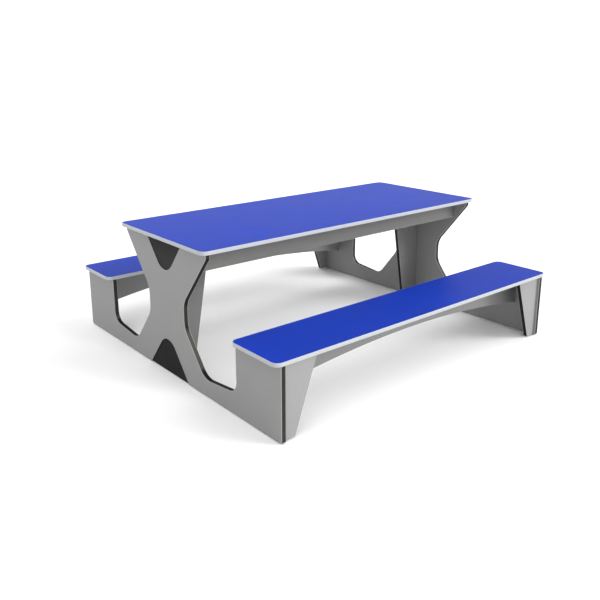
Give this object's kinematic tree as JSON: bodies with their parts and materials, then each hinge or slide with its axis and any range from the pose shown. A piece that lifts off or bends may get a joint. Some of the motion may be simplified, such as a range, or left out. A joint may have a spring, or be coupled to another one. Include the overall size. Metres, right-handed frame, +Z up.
{
  "type": "table and bench set",
  "caption": "Long table with fixed benches, blue laminate tops and white edging, on X-shaped grey sandwich-panel end frames with gussets, aprons and arched bench rails.",
  "frame": {"origin": "on the floor under the middle of the table top", "axes": "+X along the benches, +Y across them towards the back bench, +Z up"},
  "size_m": [2, 1.882, 0.74],
  "materials": {
    "blue_laminate": "satin laminate with a fine pebbled texture",
    "white_edging": "smooth rounded plastic edging",
    "board": "pressed board, hidden by laminates and edging",
    "backer": "plain matt backing laminate",
    "grey_skin": "satin grey panel face with a fine grain",
    "black_core": "routed black panel core, bare at the edges and in the pockets",
    "zinc_steel": "zinc plated",
    "zinc_alloy": "die cast",
    "beech": "grooved beech dowel",
    "black_nylon": "moulded nylon"
  },
  "bodies": {
    "root": {"table_core": "board", "table_laminate": "blue_laminate", "table_backer": "backer", "table_edge_band": "white_edging", "front_bench_core": "board", "front_bench_laminate": "blue_laminate", "front_bench_backer": "backer", "front_bench_edge_band": "white_edging", "back_bench_core": "board", "back_bench_laminate": "blue_laminate", "back_bench_backer": "backer", "back_bench_edge_band": "white_edging", "left_frame_core": "black_core", "left_frame_outer_skin": "grey_skin", "left_frame_inner_skin": "grey_skin", "right_frame_core": "black_core", "right_frame_outer_skin": "grey_skin", "right_frame_inner_skin": "grey_skin", "left_centre_gusset": "black_core", "left_centre_gusset_skins": "grey_skin", "left_front_gusset": "black_core", "left_front_gusset_skins": "grey_skin", "left_back_gusset": "black_core", "left_back_gusset_skins": "grey_skin", "right_centre_gusset": "black_core", "right_centre_gusset_skins": "grey_skin", "right_front_gusset": "black_core", "right_front_gusset_skins": "grey_skin", "right_back_gusset": "black_core", "right_back_gusset_skins": "grey_skin", "front_apron": "black_core", "front_apron_skins": "grey_skin", "back_apron": "black_core", "back_apron_skins": "grey_skin", "front_bench_rail": "black_core", "front_bench_rail_skins": "grey_skin", "back_bench_rail": "black_core", "back_bench_rail_skins": "grey_skin", "table_brackets": "zinc_steel", "table_bracket_screws": "zinc_steel", "front_bench_brackets": "zinc_steel", "front_bench_bracket_screws": "zinc_steel", "back_bench_brackets": "zinc_steel", "back_bench_bracket_screws": "zinc_steel", "left_panel_dowels": "beech", "left_cams": "zinc_alloy", "left_cam_bolts": "zinc_steel", "left_glides": "black_nylon", "right_panel_dowels": "beech", "right_cams": "zinc_alloy", "right_cam_bolts": "zinc_steel", "right_glides": "black_nylon"}
  },
  "joints": []
}
